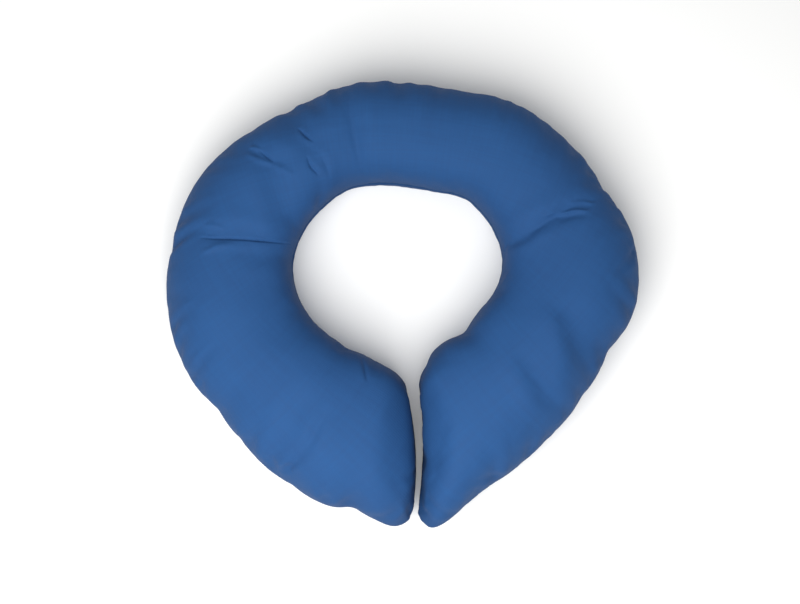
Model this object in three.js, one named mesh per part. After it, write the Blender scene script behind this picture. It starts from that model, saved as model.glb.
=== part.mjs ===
// Neck pillow: one stuffed ring of plain woven cloth, split at the front, where its two blunt
// ends nearly meet. It is cut as an upper and a lower panel, and one seam joins them all the
// way round: along the neck hole, over both ends and along the outer edge.
// Millimetres, +Z up. It lies on its underside at z = 0, which its weight flattens, with the
// back of the neck towards +Y and the split towards -Y.
import * as THREE from "three";

// Sections across the ring, from the end on the -X side round to the other end.
// at: degrees round the middle of the neck hole, from the split, clockwise from above
// lean: degrees by which the section's outer end runs ahead of its inner end
// inner, outer: seam radii from the middle of the neck hole
// crown: height of the cloth's top above the table
const SECTIONS = [
  { at: -4.5, lean: 0.5, inner: 69, outer: 153, crown: 58 },
  { at: 0, lean: 0, inner: 61.5, outer: 161.5, crown: 62 },
  { at: 6, lean: 0, inner: 57.5, outer: 157, crown: 66 },
  { at: 18, lean: 0, inner: 54, outer: 153.5, crown: 70 },
  { at: 36, lean: 0, inner: 54, outer: 149, crown: 72 },
  { at: 52, lean: 0, inner: 57.5, outer: 145.5, crown: 71 },
  { at: 66, lean: 0, inner: 61, outer: 150, crown: 69 },
  { at: 84, lean: 0, inner: 65.5, outer: 151.5, crown: 67 },
  { at: 102, lean: 0, inner: 68.5, outer: 148.5, crown: 64 },
  { at: 120, lean: 0, inner: 68.5, outer: 145, crown: 63 },
  { at: 138, lean: 0, inner: 67.5, outer: 135.5, crown: 62 },
  { at: 152, lean: 0, inner: 67, outer: 131.5, crown: 60 },
  { at: 166, lean: 0, inner: 63.5, outer: 132.5, crown: 63 },
  { at: 184, lean: 0, inner: 61.5, outer: 129.5, crown: 64 },
  { at: 204, lean: 0, inner: 63.5, outer: 134.5, crown: 63 },
  { at: 218, lean: 0, inner: 68.5, outer: 141, crown: 64 },
  { at: 234, lean: 0, inner: 70.5, outer: 145.5, crown: 66 },
  { at: 252, lean: 0, inner: 70.5, outer: 154, crown: 66 },
  { at: 264, lean: 0, inner: 69, outer: 158, crown: 68 },
  { at: 277, lean: 0, inner: 64, outer: 157, crown: 70 },
  { at: 292, lean: 0, inner: 57, outer: 146.5, crown: 71 },
  { at: 308, lean: 0, inner: 54, outer: 144.5, crown: 72 },
  { at: 326, lean: 1, inner: 51, outer: 145.5, crown: 70 },
  { at: 336, lean: 4, inner: 53.5, outer: 151.5, crown: 67 },
  { at: 342, lean: 7, inner: 59.5, outer: 161.5, crown: 64 },
  { at: 345.5, lean: 7, inner: 64, outer: 163.5, crown: 61 },
  { at: 347.5, lean: 7.5, inner: 71, outer: 153, crown: 58 },
];

// Puckers where the seam gathers the cloth, as seen from above.
// at: degrees round the ring; side: which seam; depth: how far the outline is drawn in
// width: half the pucker's length along the seam; reach: how far its trough runs over the cloth
const PUCKERS = [
  { at: 11, side: "outer", depth: 4.4, width: 6, reach: 24 },
  { at: 28, side: "outer", depth: 0.8, width: 6, reach: 26 },
  { at: 54, side: "outer", depth: 2.0, width: 8, reach: 26 },
  { at: 97, side: "outer", depth: 1.6, width: 7, reach: 22 },
  { at: 137, side: "outer", depth: 1.4, width: 6, reach: 20 },
  { at: 147, side: "outer", depth: 1.8, width: 6, reach: 26 },
  { at: 199, side: "outer", depth: 1.2, width: 5, reach: 22 },
  { at: 246, side: "outer", depth: 3.0, width: 7, reach: 26 },
  { at: 288, side: "outer", depth: 1.4, width: 7, reach: 24 },
  { at: 303, side: "outer", depth: 1.4, width: 6, reach: 24 },
  { at: 337, side: "outer", depth: 3.2, width: 7, reach: 22 },
  { at: 35, side: "inner", depth: 1.2, width: 6, reach: 20 },
  { at: 222, side: "inner", depth: 0.8, width: 7, reach: 22 },
  { at: 310, side: "inner", depth: 1.8, width: 6, reach: 24 },
];

// Creases over the top, each a soft trough with a raised lip beside it.
// x1, y1, x2, y2: its two ends in plan, from the middle of the neck hole
// depth, width: of the trough; lip: height of the raised side, to the left going from 1 to 2
const CREASES = [
  { x1: -124, y1: 27, x2: -78, y2: 23, depth: 3.6, width: 4.5, lip: 1.6 },
  { x1: -102, y1: 84, x2: -74, y2: 73, depth: 2.6, width: 4.5, lip: 1.4 },
  { x1: -67, y1: 99, x2: -53, y2: 88, depth: 2.6, width: 4, lip: 1.2 },
  { x1: -60, y1: 86, x2: -51, y2: 70, depth: 2.2, width: 4.5, lip: 1.2 },
  { x1: -32, y1: 122, x2: -24, y2: 72, depth: 3.0, width: 7, lip: 0.8 },
  { x1: -84, y1: 74, x2: -68, y2: 33, depth: 3.0, width: 8, lip: 0 },
  { x1: 76, y1: 25, x2: 126, y2: 48, depth: 3.8, width: 5, lip: 2.2 },
  { x1: 121, y1: -66, x2: 109, y2: -26, depth: 2.6, width: 7, lip: 2.0 },
  { x1: 96, y1: -82, x2: 84, y2: -60, depth: 1.8, width: 6, lip: 1.4 },
  { x1: -76, y1: -124, x2: -62, y2: -84, depth: 2.4, width: 7, lip: 1.0 },
  { x1: 4, y1: -158, x2: -1, y2: -146, depth: 2.4, width: 4, lip: 0.8 },
];

const SEAM_SHARE = 0.43; // height of the seam, as a share of the crown
const SEAM_SAG = 0.45; // share of its height that the seam loses at the two ends
const BELLY_SHARE = 0.51; // depth of the underside below the seam before the table stops it
const END_ROUND = 30; // length over which an end swells from its seam to the full crown
const END_BOW = { first: 4.5, last: -3 }; // how far each end's middle stands out into the split, or back
const SWELL = { power: 2.4, root: 0.52 }; // shape of the cloth's arch, across the ring and over its ends
const PUCKER_DIP = 0.8; // how far a pucker sinks into the top, as a share of its pull
const LIP_OFFSET = 1.6; // distance of a crease's lip from its trough, in trough widths
const RELIEF_RAMP = 2; // how soon the relief is full: 1 at the crown, 2 at half the arch
const FIRST_ANGLE = -30; // angles round the ring are counted on from here
const STATION_PITCH = 8.4; // spacing of the sections along the outer seam
const STRIPS = 18; // faces across each panel
const CLOTH = { color: 0x35609f, roughness: 0.72, metalness: 0 };

const radians = THREE.MathUtils.degToRad;
const bell = (distance, width) => Math.exp(-((distance / width) ** 2));

// A point of the plan from its angle and radius, with a height carried along.
function planPoint(at, radius, height) {
  return new THREE.Vector3(-Math.sin(radians(at)) * radius, -Math.cos(radians(at)) * radius, height);
}

const innerSeam = new THREE.CatmullRomCurve3(
  SECTIONS.map(({ at, inner, crown }) => planPoint(at, inner, crown)),
);
const outerSeam = new THREE.CatmullRomCurve3(
  SECTIONS.map(({ at, lean, outer, crown }) => planPoint(at + lean, outer, crown)),
);

// Where the modelled sections lie on the two curves: about one pitch apart at the outer seam.
function stationPlaces() {
  const places = [0];
  const intervals = SECTIONS.length - 1;
  for (let row = 0; row < intervals; row += 1) {
    const gap = outerSeam.getPoint(row / intervals).distanceTo(outerSeam.getPoint((row + 1) / intervals));
    const steps = Math.max(2, Math.round(gap / STATION_PITCH));
    for (let step = 1; step <= steps; step += 1) places.push((row + step / steps) / intervals);
  }
  return places;
}

// How far each modelled section lies from the nearer end, measured down the middle of the ring.
function endDistances(places) {
  const middle = (place) => innerSeam.getPoint(place).lerp(outerSeam.getPoint(place), 0.5).setZ(0);
  const middles = places.map(middle);
  const run = [0];
  for (let k = 1; k < middles.length; k += 1) run.push(run[k - 1] + middles[k].distanceTo(middles[k - 1]));
  const whole = run[run.length - 1];
  return run.map((length) => Math.min(length, whole - length));
}

// Share of the full height at this share of the way from the crown down to the seam.
const swell = (away) => (1 - Math.abs(away) ** SWELL.power) ** SWELL.root;

// How much the puckers draw the cloth in at a plan point.
function puckerPull(angle, seamDistance) {
  let pull = 0;
  for (const { at, side, depth, width, reach } of PUCKERS) {
    const radius = seamDistance[side].radius;
    const along = radians(angle - at) * radius;
    pull += depth * bell(along, width) * bell(seamDistance[side].gap, reach);
  }
  return pull;
}

// Height that the creases add at a plan point: negative in a trough, positive on its lip.
function creaseRelief(point) {
  let relief = 0;
  for (const { x1, y1, x2, y2, depth, width, lip } of CREASES) {
    const run = new THREE.Vector2(x2 - x1, y2 - y1);
    const from = new THREE.Vector2(point.x - x1, point.y - y1);
    const share = from.dot(run) / run.lengthSq();
    const past = Math.max(0, -share, share - 1) * run.length();
    const offset = run.cross(from) / run.length();
    const fade = bell(past, width);
    relief += fade * (lip * bell(offset - LIP_OFFSET * width, width) - depth * bell(offset, width));
  }
  return relief;
}

// The upper and lower cloth points of a section, at a place from -1 at the neck to 1 outside.
function clothPoints(section, across) {
  const { inner, outer, crown, rise, bow } = section;
  const share = (across + 1) / 2;
  const plan = inner.clone().lerp(outer, share).setZ(0);
  const rib = outer.clone().sub(inner).setZ(0);
  const width = rib.length();
  const angle = THREE.MathUtils.radToDeg(Math.atan2(-plan.x, -plan.y));
  const turned = angle < FIRST_ANGLE ? angle + 360 : angle;
  const seamDistance = {
    inner: { radius: inner.clone().setZ(0).length(), gap: share * width },
    outer: { radius: outer.clone().setZ(0).length(), gap: (1 - share) * width },
  };
  const pull = puckerPull(turned, seamDistance);
  plan.addScaledVector(rib.normalize(), -across * Math.abs(across) * pull);
  plan.addScaledVector(new THREE.Vector3(-rib.y, rib.x, 0), bow * (1 - across * across));

  const arch = swell(across) * rise;
  const seam = crown * SEAM_SHARE * (1 - SEAM_SAG * (1 - rise));
  const relief = (creaseRelief(plan) - PUCKER_DIP * pull) * Math.min(1, RELIEF_RAMP * arch);
  const top = seam + (crown * (1 - SEAM_SHARE) + relief) * arch;
  const bottom = Math.max(0, seam - crown * BELLY_SHARE * arch);
  return { top: plan.clone().setZ(top), bottom: plan.clone().setZ(bottom) };
}

// The closed cloth skin: two sheets of the same grid that share the seam all the way round.
function pillowGeometry() {
  const places = stationPlaces();
  const gaps = endDistances(places);
  const stations = places.length - 1;
  const positions = [];
  const index = { top: [], bottom: [] };
  const put = (point) => positions.push(point.x, point.y, point.z) / 3 - 1;

  places.forEach((place, station) => {
    const inner = innerSeam.getPoint(place);
    const crown = inner.z;
    const rise = swell(Math.max(0, 1 - gaps[station] / END_ROUND));
    const near = bell(gaps[station], END_ROUND);
    const bow = near * (place < 0.5 ? END_BOW.first : -END_BOW.last);
    const section = { inner, outer: outerSeam.getPoint(place), crown, rise, bow };
    index.top.push([]);
    index.bottom.push([]);
    for (let strip = 0; strip <= STRIPS; strip += 1) {
      const across = -Math.cos((Math.PI * strip) / STRIPS);
      const { top, bottom } = clothPoints(section, across);
      const onSeam = strip === 0 || strip === STRIPS || station === 0 || station === stations;
      const upper = put(top);
      index.top[station].push(upper);
      index.bottom[station].push(onSeam ? upper : put(bottom));
    }
  });

  const faces = [];
  const triangle = (a, b, c) => {
    if (a !== b && b !== c && c !== a) faces.push(a, b, c);
  };
  for (let station = 0; station < stations; station += 1) {
    for (let strip = 0; strip < STRIPS; strip += 1) {
      for (const [sheet, up] of [[index.top, true], [index.bottom, false]]) {
        const [a, b] = [sheet[station][strip], sheet[station][strip + 1]];
        const [d, c] = [sheet[station + 1][strip], sheet[station + 1][strip + 1]];
        const corners = up ? [a, d, c, b] : [a, b, c, d];
        const cutFromFirst = strip < STRIPS / 2 === station < stations / 2;
        const [p, q, r, s] = cutFromFirst ? corners : [...corners.slice(1), corners[0]];
        triangle(p, q, r);
        triangle(p, r, s);
      }
    }
  }

  const geometry = new THREE.BufferGeometry();
  geometry.setAttribute("position", new THREE.Float32BufferAttribute(positions, 3));
  geometry.setIndex(faces);
  geometry.computeBoundingBox();
  const middle = geometry.boundingBox.getCenter(new THREE.Vector3());
  geometry.translate(-middle.x, -middle.y, -geometry.boundingBox.min.z);
  geometry.computeVertexNormals();
  return geometry;
}

const pillow = new THREE.Mesh(pillowGeometry(), new THREE.MeshStandardMaterial(CLOTH));
pillow.name = "pillow";

const part = new THREE.Group();
part.add(pillow);

export default part;
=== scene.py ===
"""Neck pillow: a stuffed ring of plain blue woven cloth, split at the front, on a pale floor.

Metres, +Z up. The back of the neck is towards +Y and the split towards -Y. The cover starts from the
solid's own surface. A cloth simulation blows it up with its filling while its seam is held, and then
it gets its fuller places, the seam's groove, gathers and tucks, and the creases. All of it is one
padded piece.
"""
import math
import random

import bmesh
import bpy
import numpy as np
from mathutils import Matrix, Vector
from mathutils import noise
from mathutils.kdtree import KDTree


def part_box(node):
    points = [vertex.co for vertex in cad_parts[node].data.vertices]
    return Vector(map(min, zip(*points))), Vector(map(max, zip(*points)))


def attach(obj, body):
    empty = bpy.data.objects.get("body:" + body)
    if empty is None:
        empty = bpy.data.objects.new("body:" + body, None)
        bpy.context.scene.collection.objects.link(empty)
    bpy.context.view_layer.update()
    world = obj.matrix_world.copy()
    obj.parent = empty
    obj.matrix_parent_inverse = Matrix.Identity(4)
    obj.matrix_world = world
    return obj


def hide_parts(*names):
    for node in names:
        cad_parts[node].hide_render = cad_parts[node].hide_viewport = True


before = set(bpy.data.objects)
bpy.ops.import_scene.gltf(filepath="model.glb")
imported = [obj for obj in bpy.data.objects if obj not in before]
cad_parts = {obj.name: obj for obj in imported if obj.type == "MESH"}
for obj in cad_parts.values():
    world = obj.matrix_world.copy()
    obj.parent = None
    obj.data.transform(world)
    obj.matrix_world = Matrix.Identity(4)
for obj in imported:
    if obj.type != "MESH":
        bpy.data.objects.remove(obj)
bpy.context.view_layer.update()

MM = 0.001
SAME_PLACE = 0.01 * MM  # points nearer to each other than this are one
NOISE_STEP = (7.3, 3.1, 5.7)  # how far the noise moves on from one seed to the next

# The solid that the cover stands for, and the middle of its neck hole as seen from above
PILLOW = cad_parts["pillow"]
LOW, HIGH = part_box("pillow")
WIDTH = HIGH.x - LOW.x
HEIGHT = HIGH.z - LOW.z
HOLE_MIDDLE = np.array([-2.3, 15.7]) * MM

# The camera stands nearly overhead, a little towards the split
CAMERA_LENS = 80
CAMERA_SENSOR = 36
CAMERA_ELEVATION = math.radians(84.5)
CAMERA_DISTANCE = 3.77 * WIDTH
CAMERA_TARGET = Vector((-1.5, 0.8, 30.0)) * MM
CAMERA_NEAREST = 10 * MM

# A pale floor, one large soft lamp to the left of the split, and light from the whole room
FLOOR_RADIUS = 12
FLOOR_CORNERS = 64
FLOOR_COLOUR = (0.87, 0.87, 0.865, 1)
FLOOR_ROUGHNESS = 0.9
LAMP_PLACE = Vector((-0.112, -0.309, 0.618))
LAMP_SIZE = 0.75
LAMP_POWER = 7.2
LAMP_COLOUR = (1.0, 0.995, 0.98)
ROOM_COLOUR = (0.98, 0.99, 1.0, 1)
ROOM_LIGHT = 0.55

# Stuffing: how the filling blows the cover up
STUFFING = {
    "frames": 14,
    "quality": 5,
    "pressure": 40,
    "mass": 0.05,
    "tension": 40,
    "shear": 10,
    "bending": 0.05,
    "ease": 0.006,  # how much larger the cloth is cut than the filling needs
}
MOST_STUFFED = 4 * MM  # how far the filling may push a point
WRINKLED = 38 * MM  # how far from the seam the cloth keeps its wrinkles
CALM_CROWN = 0.35  # the share of them that the crown keeps
ON_FLOOR = 0.4 * MM  # points lower than this lie on the floor and are held there
FREE_HEIGHT = 4 * MM  # from here up nothing holds the cloth's surface flat

# Fullness beside the seam: round the outside, along the neck hole and along the split
SIDES = {"outer": 0.35 * MM, "hole": -0.8 * MM, "split": 0.4 * MM, "reach": 30 * MM}

# Where the hole's side of the ring turns into its outside, from the middle of the neck hole
OUTSIDE = {"from": 95 * MM, "width": 25 * MM}

# The split, from the middle of the neck hole. Its two sides are filled out, so that they nearly touch
SPLIT = {"middle": 11 * MM, "mouth": -62 * MM, "fade": 12 * MM, "reach": 26 * MM}
SPLIT_EDGE = {"height": 1.1 * MM, "reach": 7 * MM}
SHOULDER = {"split": 4.0 * MM, "hole": 2.0 * MM, "from_seam": 27 * MM, "reach": 13.5 * MM}

# The filling's lumps, and where it lies fuller or thinner: plan place in mm from the middle of the
# neck hole, height in mm, and reach in mm
LUMPS = {"height": 1.2 * MM, "size": 42 * MM, "seed": 3}
FULLNESS = [
    ((-95, 99), 1.8, 17),
    ((142, 49), -1.8, 13),
    ((-152, -20), -1.1, 18),
    ((57, -135), -1.1, 12),
    ((-54, -142), 1.1, 15),
    ((124, -46), -2.2, 13),
    ((-8, 62), -0.6, 25),
    ((62, -27), 0.9, 9),
]

# The seam's groove, and the gathers that it draws up beside it
SEAM_GROOVE = {"depth": 1.4 * MM, "width": 1.9 * MM}
GATHERS = {
    "height": 0.6 * MM,
    "pitch": 13 * MM,
    "fine_pitch": 6.5 * MM,
    "coarse_share": 0.7,
    "drawn_out": 0.3,  # how slowly they change away from the seam, against along it
    "highest": 7 * MM,  # how far from the seam they are highest
    "reach": 15 * MM,
    "at_edge": 0.2,  # their share of the height on the seam itself
    "clear_of_edge": 9 * MM,  # from here on they have all of it
    "at_hole": 0.35,  # their share of it along the neck hole
    "patch_size": 65 * MM,
    "patch_share": 0.6,  # their share of it in a middling patch
    "patch_swing": 0.8,  # how much more or less that is in the strongest and weakest patches
    "seeds": {"fine": 1, "coarse": 2, "patches": 4},
}

# Short tucks that start at the seam, upper and lower cloth each with their own
TUCKS = {
    "seed": 11,
    "pitch": 12 * MM,
    "spacing": (0.35, 1.65),  # from one to the next, in pitches
    "depth": (0.4 * MM, 1.6 * MM),
    "length": (16 * MM, 36 * MM),
    "width": (1.8 * MM, 3.6 * MM),
    "skew": 0.45,  # how far they may lean for each metre away from the seam
    "bend": 6 * MM,
    "starts": 5 * MM,  # how far from the seam they begin to deepen
    "deepest": 19 * MM,
    "at_seam": 0.04,  # their share of the depth on the seam itself
    "at_hole": 0.45,  # their share of it along the neck hole
    "gone": 1.4,  # where they would fade out, in lengths
    "cut_off": 1.3,  # where they end
    "widening": 0.8,  # how much wider they are at their full length
}
TUCK_BANK = {"height": 0.55, "middle": 2, "width": 1.1, "cut_off": 5}  # in a tuck's own depth and width

# What all creases share. Their ends fade out, their lines waver, and they show from above
CREASE_TAIL = 0.22  # how far a crease fades out past its ends, as a share of its length
CREASE_END_WIDTH = 0.6  # the share of its width that it keeps at its ends
CREASE_END_POWER = 0.9  # how steeply its height falls towards its ends
CREASE_BANK = 0.6  # how far outside the trough the raised cloth is highest, in spreads
CREASE_REACH = {"trough": 4, "bank": 3, "step": 3}  # how far out each is worked out, in its own widths
CREASE_WAVER = {"sideways": 0.9 * MM, "height": 0.35, "size": 10 * MM, "seed": 20}
CREASE_SLOPE = 3  # how soon the creases start as the cloth turns upwards

# The mesh is finer near the seam and the creases, and finest near the sharp creases
SHARP = 1.8 * MM  # a crease that is at most this wide is a sharp one
FINE_ABOVE = 0.55 * HEIGHT  # creases lower than this get no finer mesh
FINE_AT_SEAM = 4.0 * MM
FINE_CREASE = {"widest": 3 * MM, "band": 6 * MM}
FINEST_CREASE = {"widest": SHARP, "band": 3 * MM}

# The cloth: a plain weave with slubs, faded in places, creased and stitched, with painted shade along
# the seam
CROWN_FLATNESS = 0.8  # faces at least this level set where each panel's grain runs
PANEL_MARGIN = 0.01  # how far apart the two panels lie on their map
WEAVE = {"pitch": 0.42 * MM, "height": 0.055 * MM, "dip": 0.45, "tone": 0.12}
SLUBS = {"along": 40, "across": 900, "detail": 2.0, "height": 0.05 * MM, "tone": 0.9}
FADING = {"scale": 14.0, "detail": 3.0, "tone": 0.5}
RUMPLE = {"scale": 55.0, "detail": 4.0, "height": 0.5 * MM}
STITCHES = {"pitch": 2.6 * MM, "height": 0.16 * MM}
# Painted shade in the seam's groove
SEAM_PAINTED_SHADE = {"reach": 1.8 * MM, "share": 0.35}
# Painted shade in a wider band along the seam, where the sides turn down away from the light
SIDE_PAINTED_SHADE = {"reach": 10 * MM, "share": 0.4}
CLOTH_DARK = (0.0127, 0.051, 0.1535, 1)
CLOTH_LIGHT = (0.0161, 0.074, 0.2125, 1)
# The colour that the painted shade along the seam darkens the cloth towards
CLOTH_IN_PAINTED_SHADE = (0.003, 0.016, 0.055, 1)
CLOTH_ROUGHNESS = {"middle": 0.74, "slubs": 0.25}
CLOTH_SHEEN = {
    "Sheen Weight": 0.01,
    "Sheen Roughness": 0.5,
    "Sheen Tint": (0.85, 0.9, 1.0, 1),
    "Specular IOR Level": 0.15,
}

# The places of a Mix node's sockets for colours
MIX_SHARE = 0
MIX_FIRST = 6
MIX_SECOND = 7
MIX_COLOUR = 2


def crease(
    start, end, depth=0.0, width=2.0, left=0.0, right=0.0, spread=4.0, step=0.0, low_side=4.0, bow=0.0
):
    """One crease of the upper cloth, in mm.

    It runs from start to end as the camera sees it, measured from the middle of the neck hole. depth
    and width are those of its trough, or of a ridge where depth is below 0. left and right are the
    heights of the raised cloth beside it, and spread is how wide that is. step is how much its right
    side stands above its left one, and low_side how far the left one stays low. bow is how far its
    middle swings to the left.
    """
    run = np.subtract(end, start) * MM
    length = np.linalg.norm(run)
    return {
        "start": np.array(start) * MM,
        "along": run / length,
        "length": length,
        "depth": depth * MM,
        "width": width * MM,
        "left": left * MM,
        "right": right * MM,
        "spread": spread * MM,
        "step": step * MM,
        "low_side": low_side * MM,
        "bow": bow * MM,
    }


CREASES = [
    # The long fold across the left side, with the small folds at its outer end
    crease((-122, 27), (-80, 24), depth=1.3, width=0.9, left=0.4, right=0.8, spread=3.6, bow=0.7),
    crease((-128, 18.5), (-112, 23), depth=-1.0, width=2.4),
    crease((-127, 36), (-116, 33.5), depth=-0.8, width=1.7, bow=0.4),
    crease((-104, 18), (-66, 10), depth=1.0, width=7.0, right=0.4, spread=9.0, bow=2.0),
    # Pinched cloth at the upper left
    crease((-89, 82.5), (-83, 77.5), depth=1.2, width=1.1, left=0.4, right=0.6, spread=2.4),
    crease((-99, 81.5), (-86, 76), depth=-1.1, width=2.2, bow=-0.8),
    crease((-97, 86), (-90, 85), depth=-0.8, width=1.5),
    crease((-84, 75), (-70, 69), depth=-0.8, width=2.4, bow=0.8),
    crease((-65, 97), (-57, 91), depth=1.3, width=1.1, left=0.3, right=0.6, spread=2.6, bow=-0.5),
    crease((-60, 79), (-54, 70), depth=1.1, width=1.3, left=1.0, right=0.2, spread=3.4, bow=-0.8),
    crease((-50, 82), (-47, 69), depth=0.5, width=1.6, left=0.2, right=0.4, spread=3.0, bow=0.6),
    crease((-33, 119), (-24, 76), depth=1.1, width=3.0, left=0.4, right=0.8, spread=10.0, bow=-1.0),
    crease((-94, 74), (-87, 36), depth=-0.7, width=8.0, bow=-2.0),
    crease((-43, 112), (-37, 72), step=1.6, width=9.0, spread=20.0, low_side=18.0),
    # The fold across the right side: a dark edge from the hole, and bright pinches at its outer end
    crease((72, 22), (90, 32.5), depth=0.9, width=2.6, left=0.4, right=0.4, spread=5.0, bow=-0.8),
    crease((88, 32), (107, 42), depth=0.9, width=2.0, left=0.5, right=0.6, spread=5.0, bow=0.6),
    crease((106, 43), (122, 45), depth=-1.2, width=1.4, right=-0.8, spread=2.4, bow=0.9),
    crease((96, 42), (106, 45), depth=-0.6, width=1.6, bow=0.5),
    crease((113, 50), (127, 50), depth=-0.8, width=1.3, bow=0.6),
    # Soft edges where the right end is filled harder than its outer side
    crease((102, -24), (114, -65), step=1.7, width=5.0, spread=16.0, low_side=30.0, bow=3.5),
    crease((75, -50), (94, -88), step=1.0, width=4.5, spread=12.0, low_side=20.0, bow=2.5),
    # The left end: a soft valley, a dimple at the outer seam, a nick by the hole and one at the tip
    crease((-50, -90), (-71, -123), depth=1.6, width=3.6, left=0.4, right=0.5, spread=7.0, bow=1.5),
    crease((-78, -126), (-68, -121), depth=1.2, width=2.2, left=0.3, spread=4.0),
    crease((-24, -54), (-21.5, -66), depth=0.7, width=1.3, left=0.3, right=0.3, spread=3.0),
    crease((3, -146), (8, -157), depth=1.5, width=1.6, left=0.3, right=0.6, spread=3.0),
]


# Meshes as arrays


def only(piece):
    """Selects one piece and makes it the active one."""
    bpy.ops.object.select_all(action="DESELECT")
    piece.select_set(True)
    bpy.context.view_layer.objects.active = piece


def read(items, name, width=1, kind=np.float32):
    """A value or a vector of each item, such as a mesh's points or faces, as the rows of an array."""
    flat = np.zeros(len(items) * width, kind)
    items.foreach_get(name, flat)
    return flat.reshape(-1, width) if width > 1 else flat


def points(mesh):
    """The mesh's points."""
    return read(mesh.vertices, "co", 3).astype(float)


def normals(mesh):
    """The mesh's outward directions, one for each point."""
    return read(mesh.vertices, "normal", 3).astype(float)


def put_points(mesh, places):
    """Moves the mesh's points to these places."""
    mesh.vertices.foreach_set("co", places.astype(np.float32).ravel())
    mesh.update()


def bell(distance, width):
    """1 in the middle, fading out on both sides."""
    return np.exp(-((distance / width) ** 2))


def smooth_rise(share):
    """From 0 to 1 with a soft start and a soft end."""
    share = np.clip(share, 0, 1)
    return share**2 * (3 - 2 * share)


def noise_at(places, size, seed):
    """Smooth noise from -1 to 1, with features of this size."""
    offset = Vector([seed * step for step in NOISE_STEP])
    return np.array([noise.noise(Vector(place / size) + offset) for place in places])


# Camera, floor and light


def make_camera():
    """The camera, looking down at the pillow, with colours shown as they are."""
    data = bpy.data.cameras.new("camera")
    data.lens = CAMERA_LENS
    data.sensor_width = CAMERA_SENSOR
    data.clip_start = CAMERA_NEAREST
    camera = bpy.data.objects.new("camera", data)
    bpy.context.scene.collection.objects.link(camera)
    back = Vector((0, -math.cos(CAMERA_ELEVATION), math.sin(CAMERA_ELEVATION)))
    camera.location = CAMERA_TARGET + back * CAMERA_DISTANCE
    camera.rotation_euler = (-back).to_track_quat("-Z", "Y").to_euler()
    bpy.context.scene.camera = camera
    bpy.context.scene.view_settings.view_transform = "Standard"


def make_floor():
    """A pale floor that reaches past the edges of the view."""
    bpy.ops.mesh.primitive_circle_add(vertices=FLOOR_CORNERS, radius=FLOOR_RADIUS, fill_type="NGON")
    floor = bpy.context.object
    floor.name = "floor"
    material = bpy.data.materials.new("pale_floor")
    material.use_nodes = True
    shader = material.node_tree.nodes["Principled BSDF"]
    shader.inputs["Base Color"].default_value = FLOOR_COLOUR
    shader.inputs["Roughness"].default_value = FLOOR_ROUGHNESS
    floor.data.materials.append(material)


def make_room():
    """Even light from all round."""
    world = bpy.data.worlds.new("studio")
    world.use_nodes = True
    background = world.node_tree.nodes["Background"]
    background.inputs["Color"].default_value = ROOM_COLOUR
    background.inputs["Strength"].default_value = ROOM_LIGHT
    bpy.context.scene.world = world


def make_lamp():
    """The large soft lamp, turned to the middle of the floor."""
    data = bpy.data.lights.new("key", "AREA")
    data.shape = "DISK"
    data.size = LAMP_SIZE
    data.energy = LAMP_POWER
    data.color = LAMP_COLOUR
    lamp = bpy.data.objects.new("key", data)
    bpy.context.scene.collection.objects.link(lamp)
    lamp.location = LAMP_PLACE
    lamp.rotation_euler = (-LAMP_PLACE).to_track_quat("-Z", "Y").to_euler()
    lamp.visible_camera = False


# The cover before it is stuffed


def bare_cover():
    """A closed quad mesh over the solid's surface. Its seam is where upper and lower cloth meet."""
    mesh = PILLOW.data.copy()
    mesh.materials.clear()
    cover = bpy.data.objects.new("pillow_cover", mesh)
    bpy.context.scene.collection.objects.link(cover)
    work = bmesh.new()
    work.from_mesh(mesh)
    bmesh.ops.remove_doubles(work, verts=work.verts, dist=SAME_PLACE)
    upper = {face: face.normal.z > 0 for face in work.faces}
    for edge in work.edges:
        first, second = edge.link_faces
        edge.seam = upper[first] != upper[second]
    bmesh.ops.join_triangles(
        work,
        faces=work.faces,
        cmp_seam=True,
        angle_face_threshold=math.pi,
        angle_shape_threshold=math.pi,
    )
    work.to_mesh(mesh)
    work.free()
    return cover


def refine(cover, levels):
    """Rounds the cover off by this many levels of subdivision."""
    only(cover)
    modifier = cover.modifiers.new("round", "SUBSURF")
    modifier.levels = levels
    modifier.render_levels = levels
    bpy.ops.object.modifier_apply(modifier=modifier.name)


def lay_panel(flat, plan, crown):
    """A flattened panel, turned, scaled and moved so that its crown lies over its own plan."""
    flat_middle = flat[crown].mean(0)
    plan_middle = plan[crown].mean(0)
    from_flat = flat[crown] - flat_middle
    from_plan = plan[crown] - plan_middle
    left, stretch, right = np.linalg.svd(from_flat.T @ from_plan)
    scale = stretch.sum() / (from_flat**2).sum()
    return (flat - flat_middle) @ (left @ right) * scale + plan_middle


def lay_out_cloth(cover):
    """Flattens each panel as it was cut, and scales its map to metres, grain along X and Y."""
    only(cover)
    bpy.ops.object.mode_set(mode="EDIT")
    bpy.ops.mesh.select_all(action="SELECT")
    bpy.ops.uv.unwrap(method="CONFORMAL", margin=PANEL_MARGIN)
    bpy.ops.object.mode_set(mode="OBJECT")
    mesh = cover.data
    layer = mesh.uv_layers.active
    layer.name = "cloth"
    flat = read(layer.uv, "vector", 2).astype(float)
    plan = points(mesh)[read(mesh.loops, "vertex_index", kind=np.int32)][:, :2]
    corners = read(mesh.polygons, "loop_total", kind=np.int32)
    level = np.repeat(read(mesh.polygons, "normal", 3)[:, 2], corners)
    crown = np.abs(level) > CROWN_FLATNESS
    for panel in (level > 0, level <= 0):
        flat[panel] = lay_panel(flat[panel], plan[panel], crown[panel])
    layer.uv.foreach_set("vector", flat.astype(np.float32).ravel())


# The seam


def seam_loop(mesh):
    """The seam's points in order, once round."""
    beside = {}
    for edge in mesh.edges:
        if edge.use_seam:
            first, second = edge.vertices
            beside.setdefault(first, []).append(second)
            beside.setdefault(second, []).append(first)
    start = min(beside)
    loop = [start]
    here = beside[start][0]
    while here != start:
        onward = [point for point in beside[here] if point != loop[-1]]
        loop.append(here)
        here = onward[0]
    return loop


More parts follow.
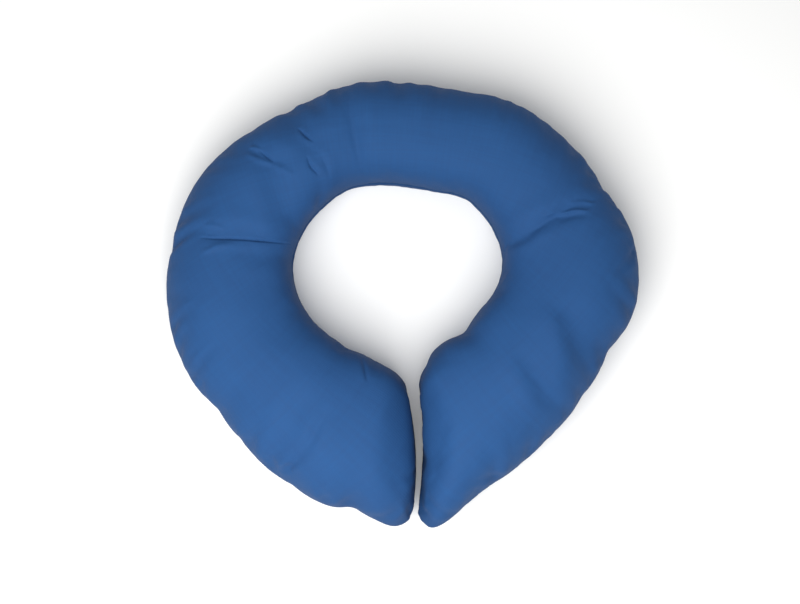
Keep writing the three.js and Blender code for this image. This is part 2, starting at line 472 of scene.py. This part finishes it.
def seam_places(mesh, places):
    """For each place its gap from the seam, and its run, which is how far along the seam it is."""
    loop = points(mesh)[seam_loop(mesh)]
    count = len(loop)
    runs = np.concatenate([[0], np.cumsum(np.linalg.norm(np.diff(loop, axis=0), axis=1))])
    tree = KDTree(count)
    for index, place in enumerate(loop):
        tree.insert(place, index)
    tree.balance()
    nearest = np.array([tree.find(place)[1] for place in places])
    gap = np.full(len(places), np.inf)
    run = np.zeros(len(places))
    for first in ((nearest - 1) % count, nearest):
        ahead = loop[(first + 1) % count] - loop[first]
        length = np.linalg.norm(ahead, axis=1)
        share = np.clip(((places - loop[first]) * ahead).sum(1) / length**2, 0, 1)
        apart = np.linalg.norm(places - loop[first] - share[:, None] * ahead, axis=1)
        closer = apart < gap
        gap[closer] = apart[closer]
        run[closer] = (runs[first] + share * length)[closer]
    return gap, run


def above_seam(mesh):
    """True for the points of the upper cloth: those on the crown's side of the seam."""
    work = bmesh.new()
    work.from_mesh(mesh)
    work.verts.ensure_lookup_table()
    top = max(work.verts, key=lambda point: point.co.z)
    reached = {top.index}
    ahead = [top]
    while ahead:
        point = ahead.pop()
        for edge in point.link_edges:
            other = edge.other_vert(point)
            if not edge.seam and other.index not in reached:
                reached.add(other.index)
                if not any(link.seam for link in other.link_edges):
                    ahead.append(other)
    work.free()
    return np.isin(np.arange(len(mesh.vertices)), list(reached))


def lay_out_seam(cover):
    """A second map: how far along the seam a corner is, and how far from it."""
    mesh = cover.data
    gap, run = seam_places(mesh, points(mesh))
    whole = run.max()
    layer = mesh.uv_layers.new(name="seam")
    for face in mesh.polygons:
        corners = [mesh.loops[index].vertex_index for index in face.loop_indices]
        runs = [run[corner] for corner in corners]
        wraps = max(runs) - min(runs) > whole / 2
        for index, corner, here in zip(face.loop_indices, corners, runs):
            onward = whole if wraps and here < whole / 2 else 0
            layer.uv[index].vector = (here + onward, gap[corner])


# Stuffing


def weigh(cover, name, weights):
    """Makes a vertex group with a weight for every point."""
    group = cover.vertex_groups.new(name=name)
    for index, weight in enumerate(weights):
        group.add([index], float(weight), "REPLACE")
    return group.name


def add_filling(cover, held):
    """Makes the cover a cloth that its filling pushes out, except where it is held."""
    filling = cover.modifiers.new("stuffing", "CLOTH")
    settings = filling.settings
    settings.quality = STUFFING["quality"]
    settings.mass = STUFFING["mass"]
    settings.tension_stiffness = STUFFING["tension"]
    settings.compression_stiffness = STUFFING["tension"]
    settings.shear_stiffness = STUFFING["shear"]
    settings.bending_stiffness = STUFFING["bending"]
    settings.use_pressure = True
    settings.uniform_pressure_force = STUFFING["pressure"]
    settings.effector_weights.gravity = 0
    settings.vertex_group_mass = weigh(cover, "held", held)
    settings.shrink_min = -STUFFING["ease"]
    filling.collision_settings.use_collision = False
    filling.point_cache.frame_end = STUFFING["frames"]
    return filling


def stuff(cover):
    """Blows the cover up, held at the seam and where it lies on the floor, and calms its crown."""
    start = points(cover.data)
    gap, _ = seam_places(cover.data, start)
    filling = add_filling(cover, (gap < SAME_PLACE) | (start[:, 2] < ON_FLOOR))
    scene = bpy.context.scene
    scene.frame_end = STUFFING["frames"]
    for step in range(1, STUFFING["frames"] + 1):
        scene.frame_set(step)
    only(cover)
    bpy.ops.object.modifier_apply(modifier=filling.name)
    moved = points(cover.data) - start
    moved *= (CALM_CROWN + (1 - CALM_CROWN) * bell(gap, WRINKLED))[:, None]
    far = np.linalg.norm(moved, axis=1)
    moved *= np.minimum(1, MOST_STUFFED / np.maximum(far, SAME_PLACE))[:, None]
    put_points(cover.data, start + moved)
    cover.vertex_groups.clear()


# Creases


def in_view(places):
    """Where the camera sees places, measured from the middle of the neck hole."""
    ahead = places - np.array(CAMERA_TARGET)
    tilt = math.sin(CAMERA_ELEVATION)
    lean = math.cos(CAMERA_ELEVATION)
    upward = ahead[:, 1] * tilt + ahead[:, 2] * lean
    nearer = ahead[:, 2] * tilt - ahead[:, 1] * lean
    larger = CAMERA_DISTANCE / (CAMERA_DISTANCE - nearer)
    seen = np.stack([ahead[:, 0], upward], axis=1) * larger[:, None]
    return seen + np.array(CAMERA_TARGET[:2]) - HOLE_MIDDLE


def crease_frame(one, places):
    """Where places are in a crease's own terms: the share of its length, and how far to its left."""
    ahead = in_view(places) - one["start"]
    share = ahead @ one["along"] / one["length"]
    aside = one["along"][0] * ahead[:, 1] - one["along"][1] * ahead[:, 0]
    return share, aside - one["bow"] * np.sin(math.pi * np.clip(share, 0, 1))


def beside_crease(share, aside, band):
    """True within this band along a crease and its fading ends."""
    return (np.abs(share - 0.5) < 0.5 + CREASE_TAIL) & (np.abs(aside) < band)


def crease_reach(one):
    """How far to its sides a crease is worked out."""
    trough = CREASE_REACH["trough"] * one["width"]
    bank = one["width"] + CREASE_REACH["bank"] * one["spread"]
    return max(trough, bank, CREASE_REACH["step"] * one["low_side"])


def crease_section(one, aside, taper):
    """Height across a crease: its trough, the raised cloth on both sides, and its step."""
    width = one["width"] * (CREASE_END_WIDTH + (1 - CREASE_END_WIDTH) * taper)
    trough = -one["depth"] * bell(aside, width)
    beside = one["width"] + CREASE_BANK * one["spread"]
    left = one["left"] * bell(aside - beside, one["spread"])
    right = one["right"] * bell(aside + beside, one["spread"])
    far = np.where(aside > 0, one["low_side"], one["spread"])
    edge = -0.5 * one["step"] * np.tanh(aside / width) * np.exp(-np.abs(aside) / far)
    return trough + left + right + edge


def crease_relief(places):
    """Height that the creases add at each place of the upper cloth."""
    relief = np.zeros(len(places))
    for number, one in enumerate(CREASES):
        share, aside = crease_frame(one, places)
        near = np.flatnonzero(beside_crease(share, aside, crease_reach(one)))
        share, aside = share[near], aside[near]
        waver = noise_at(places[near], CREASE_WAVER["size"], CREASE_WAVER["seed"] + number)
        aside = aside + CREASE_WAVER["sideways"] * waver * min(1, one["width"] / SHARP)
        taper = np.sin(math.pi * (share + CREASE_TAIL) / (1 + 2 * CREASE_TAIL))
        strength = taper**CREASE_END_POWER * (1 + CREASE_WAVER["height"] * waver)
        relief[near] += strength * crease_section(one, aside, taper)
    return relief


# A finer mesh for the details


def refine_near(cover, near):
    """Halves the edges whose middles are near."""
    work = bmesh.new()
    work.from_mesh(cover.data)
    work.edges.ensure_lookup_table()
    middles = np.array([(edge.verts[0].co + edge.verts[1].co) / 2 for edge in work.edges])
    chosen = [work.edges[index] for index in np.flatnonzero(near(middles))]
    bmesh.ops.subdivide_edges(work, edges=chosen, cuts=1, use_grid_fill=True)
    work.to_mesh(cover.data)
    work.free()


def near_creases(places, widest, band):
    """True on the upper cloth within this band beside troughs and ridges that are at most this wide."""
    near = np.zeros(len(places), bool)
    for one in CREASES:
        if one["width"] <= widest and not one["step"]:
            near |= beside_crease(*crease_frame(one, places), band)
    return near & (places[:, 2] > FINE_ABOVE)


def refine_details(cover):
    """A finer mesh along the seam and the creases, and finest along the sharp ones."""

    def near_details(places):
        gap, _ = seam_places(cover.data, places)
        return (gap < FINE_AT_SEAM) | near_creases(places, **FINE_CREASE)

    refine_near(cover, near_details)
    refine_near(cover, lambda places: near_creases(places, **FINEST_CREASE))


# Filling, gathers and tucks


def outer_share(places):
    """1 for a place on the ring's outside, 0 for one nearer the neck hole."""
    radius = np.linalg.norm(places[:, :2] - HOLE_MIDDLE, axis=1)
    return np.clip((radius - OUTSIDE["from"]) / OUTSIDE["width"], 0, 1)


def split_share(places):
    """1 for a place on the split's two sides, 0 for one away from it."""
    ahead = places[:, :2] - HOLE_MIDDLE
    past_mouth = np.clip((SPLIT["mouth"] - ahead[:, 1]) / SPLIT["fade"] + 0.5, 0, 1)
    return past_mouth * bell(ahead[:, 0] - SPLIT["middle"], SPLIT["reach"])


def filling_relief(places, gap):
    """Height that the filling adds: its lumps, fuller sides and shoulders, and uneven places."""
    outer = outer_share(places)
    split = split_share(places)
    relief = LUMPS["height"] * noise_at(places, LUMPS["size"], LUMPS["seed"])
    inner = SIDES["hole"] + (SIDES["split"] - SIDES["hole"]) * split
    relief += (inner + (SIDES["outer"] - inner) * outer) * bell(gap, SIDES["reach"])
    relief += split * SPLIT_EDGE["height"] * bell(gap, SPLIT_EDGE["reach"])
    shoulder = split * SHOULDER["split"] + (1 - split) * (1 - outer) * SHOULDER["hole"]
    relief += shoulder * bell(gap - SHOULDER["from_seam"], SHOULDER["reach"])
    for middle, height, reach in FULLNESS:
        apart = np.linalg.norm(places[:, :2] - HOLE_MIDDLE - np.array(middle) * MM, axis=1)
        relief += height * MM * bell(apart, reach * MM)
    return relief


def gather_relief(gap, run, outer):
    """Height that the seam's gathers add, stronger in some stretches of the seam than in others."""
    seeds = GATHERS["seeds"]
    drawn = np.stack([run, gap * GATHERS["drawn_out"], np.zeros(len(gap))], axis=1)
    fine = noise_at(drawn, GATHERS["fine_pitch"], seeds["fine"])
    coarse = noise_at(drawn, GATHERS["pitch"], seeds["coarse"])
    patches = noise_at(drawn, GATHERS["patch_size"], seeds["patches"])
    strength = bell(gap - GATHERS["highest"], GATHERS["reach"])
    strength *= GATHERS["at_hole"] + (1 - GATHERS["at_hole"]) * outer
    strength *= GATHERS["patch_share"] + GATHERS["patch_swing"] * patches
    from_edge = np.minimum(1, gap / GATHERS["clear_of_edge"])
    strength *= GATHERS["at_edge"] + (1 - GATHERS["at_edge"]) * from_edge
    return GATHERS["height"] * (fine + GATHERS["coarse_share"] * coarse) * strength


def tuck_relief(gap, run, upper, outer):
    """Height that the seam's short tucks add, each with its own place, length and slant."""
    chance = random.Random(TUCKS["seed"])
    whole = run.max()
    relief = np.zeros(len(gap))
    for side in (upper, ~upper):
        here = 0.0
        while here < whole:
            here += TUCKS["pitch"] * chance.uniform(*TUCKS["spacing"])
            depth = chance.uniform(*TUCKS["depth"])
            length = chance.uniform(*TUCKS["length"])
            width = chance.uniform(*TUCKS["width"])
            skew = chance.uniform(-1, 1) * TUCKS["skew"]
            bend = chance.uniform(-1, 1) * TUCKS["bend"]
            ahead = run - here - skew * gap - bend * (gap / length) ** 2
            ahead = (ahead + whole / 2) % whole - whole / 2
            near = side & (gap < TUCKS["cut_off"] * length)
            near &= np.abs(ahead) < TUCK_BANK["cut_off"] * width
            share = gap[near] / length
            rise = smooth_rise((gap[near] - TUCKS["starts"]) / (TUCKS["deepest"] - TUCKS["starts"]))
            strength = depth * (TUCKS["at_seam"] + (1 - TUCKS["at_seam"]) * rise)
            strength *= np.clip(TUCKS["gone"] - share, 0, 1)
            strength *= TUCKS["at_hole"] + (1 - TUCKS["at_hole"]) * outer[near]
            across = ahead[near] / (width * (1 + TUCKS["widening"] * share))
            bank = TUCK_BANK["height"] * bell(np.abs(across) - TUCK_BANK["middle"], TUCK_BANK["width"])
            relief[near] += strength * (bank - bell(across, 1))
    return relief


def finish_shape(cover):
    """Pushes the cover's surface out or in, and keeps its underside flat on the floor."""
    mesh = cover.data
    places = points(mesh)
    outward = normals(mesh)
    gap, run = seam_places(mesh, places)
    outer = outer_share(places)
    relief = gather_relief(gap, run, outer)
    relief += filling_relief(places, gap)
    relief += tuck_relief(gap, run, above_seam(mesh), outer)
    relief -= SEAM_GROOVE["depth"] * bell(gap, SEAM_GROOVE["width"])
    relief += np.clip(outward[:, 2] * CREASE_SLOPE, 0, 1) * crease_relief(places)
    free = np.clip(places[:, 2] / FREE_HEIGHT, 0, 1)
    places += outward * (relief * free)[:, None]
    places[:, 2] = np.maximum(places[:, 2], 0)
    put_points(mesh, places)


# The cloth's material


class Wire:
    """A shader socket that can be written in sums."""

    def __init__(self, tree, socket):
        self.tree = tree
        self.socket = socket

    def math(self, operation, *others):
        """This socket and others, put through a Math node."""
        return add_node(self.tree, "ShaderNodeMath", {"operation": operation}, [self, *others])

    def __add__(self, other):
        return self.math("ADD", other)

    __radd__ = __add__

    def __mul__(self, other):
        return self.math("MULTIPLY", other)

    __rmul__ = __mul__

    def __sub__(self, other):
        return self.math("SUBTRACT", other)

    def __rsub__(self, other):
        return (self * -1) + other


def add_node(tree, kind, settings=None, values=(), output=0):
    """Adds a node, sets it up, links or sets its sockets, and returns one of its outputs."""
    node = tree.nodes.new(kind)
    for name, value in (settings or {}).items():
        if name == "stops":
            for stop, (place, colour) in zip(node.color_ramp.elements, value):
                stop.position = place
                stop.color = colour
        else:
            setattr(node, name, value)
    named = values.items() if isinstance(values, dict) else enumerate(values)
    for name, value in named:
        if isinstance(value, Wire):
            tree.links.new(value.socket, node.inputs[name])
        else:
            node.inputs[name].default_value = value
    return Wire(tree, node.outputs[output])


def along_axis(tree, vector, axis):
    """How far a vector goes along one axis."""
    return add_node(tree, "ShaderNodeSeparateXYZ", {}, [vector], output=axis)


def clouds(tree, vector, scale, detail):
    """Soft noise from 0 to 1."""
    return add_node(tree, "ShaderNodeTexNoise", {}, {"Vector": vector, "Scale": scale, "Detail": detail})


def streaks(tree, cloth, scale):
    """Long thin noise, with the two directions of the cloth scaled apart."""
    drawn = add_node(
        tree, "ShaderNodeMapping", {"vector_type": "POINT"}, {"Vector": cloth, "Scale": scale}
    )
    return clouds(tree, drawn, 1.0, SLUBS["detail"])


def slub_shade(tree, cloth):
    """Slubs both ways of the cloth, from 0 where threads are thin to 1 where they are thick."""
    warp = streaks(tree, cloth, (SLUBS["across"], SLUBS["along"], 1))
    weft = streaks(tree, cloth, (SLUBS["along"], SLUBS["across"], 1))
    return (warp + weft) * 0.5


def thread_height(tree, cloth):
    """Height of a plain weave: threads that pass over and under each other in turn."""
    across = along_axis(tree, cloth, "X") * (1 / WEAVE["pitch"])
    along = along_axis(tree, cloth, "Y") * (1 / WEAVE["pitch"])
    column = across.math("FLOOR")
    row = along.math("FLOOR")
    over = ((column + row) * 0.5).math("FRACT") * 2
    warp = ((across - column - 0.5) * math.pi).math("COSINE")
    weft = ((along - row - 0.5) * math.pi).math("COSINE")
    warp_over = warp * (weft * WEAVE["dip"] + (1 - WEAVE["dip"]))
    weft_over = weft * (warp * WEAVE["dip"] + (1 - WEAVE["dip"]))
    return warp_over * over + weft_over * (1 - over)


def near_seam(gap, reach):
    """1 at the seam, fading out over this reach."""
    return (gap * (-1 / reach)).math("EXPONENT")


def mixed(tree, share, first, second):
    """Two colours, with this share of the second."""
    settings = {"data_type": "RGBA", "blend_type": "MIX"}
    values = {MIX_SHARE: share, MIX_FIRST: first, MIX_SECOND: second}
    return add_node(tree, "ShaderNodeMix", settings, values, output=MIX_COLOUR)


def cloth_material():
    """Blue plain weave with slubs, faded in places and stitched along the seam, with painted shade along
    the seam.
    """
    material = bpy.data.materials.new("blue_cloth")
    material.use_nodes = True
    tree = material.node_tree
    shader = tree.nodes["Principled BSDF"]
    for name, value in CLOTH_SHEEN.items():
        shader.inputs[name].default_value = value
    place = add_node(tree, "ShaderNodeTexCoord", output="Object")
    cloth = add_node(tree, "ShaderNodeUVMap", {"uv_map": "cloth"})
    seam = add_node(tree, "ShaderNodeUVMap", {"uv_map": "seam"})
    run = along_axis(tree, seam, "X")
    gap = along_axis(tree, seam, "Y")
    weave = thread_height(tree, cloth)
    slubs = slub_shade(tree, cloth)
    seam_shade_and_stitch_band = near_seam(gap, SEAM_PAINTED_SHADE["reach"])
    painted_side_shade = near_seam(gap, SIDE_PAINTED_SHADE["reach"])

    faded = clouds(tree, place, FADING["scale"], FADING["detail"])
    tone = (slubs - 0.5) * SLUBS["tone"] + (faded - 0.5) * FADING["tone"]
    tone = tone + (weave - 0.5) * WEAVE["tone"] + 0.5
    stops = [(0.0, CLOTH_DARK), (1.0, CLOTH_LIGHT)]
    open_colour = add_node(tree, "ShaderNodeValToRGB", {"stops": stops}, [tone])
    # Painted shade: the cloth darkens in the seam's groove and over a wider band beside the seam
    painted_shade_share = seam_shade_and_stitch_band * SEAM_PAINTED_SHADE["share"] + painted_side_shade * SIDE_PAINTED_SHADE["share"]
    colour = mixed(tree, painted_shade_share, open_colour, CLOTH_IN_PAINTED_SHADE)
    rough = CLOTH_ROUGHNESS["middle"] + (slubs - 0.5) * CLOTH_ROUGHNESS["slubs"]

    rumple = clouds(tree, place, RUMPLE["scale"], RUMPLE["detail"])
    stitches = (run * (2 * math.pi / STITCHES["pitch"])).math("SINE") * seam_shade_and_stitch_band
    height = weave * WEAVE["height"] + (rumple - 0.5) * RUMPLE["height"]
    height = height + stitches * STITCHES["height"] + slubs * SLUBS["height"]
    bump = add_node(tree, "ShaderNodeBump", {}, {"Strength": 1.0, "Distance": 1.0, "Height": height})
    for name, wire in {"Base Color": colour, "Roughness": rough, "Normal": bump}.items():
        tree.links.new(wire.socket, shader.inputs[name])
    return material


# The pillow


def make_cover():
    """The stuffed cover, from the solid's surface to the finished cloth."""
    cover = bare_cover()
    refine(cover, 1)
    lay_out_cloth(cover)
    stuff(cover)
    refine_details(cover)
    refine(cover, 1)
    finish_shape(cover)
    lay_out_seam(cover)
    only(cover)
    bpy.ops.object.shade_smooth()
    cover.data.materials.append(cloth_material())
    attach(cover, "root")
    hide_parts("pillow")


make_camera()
make_floor()
make_room()
make_lamp()
make_cover()
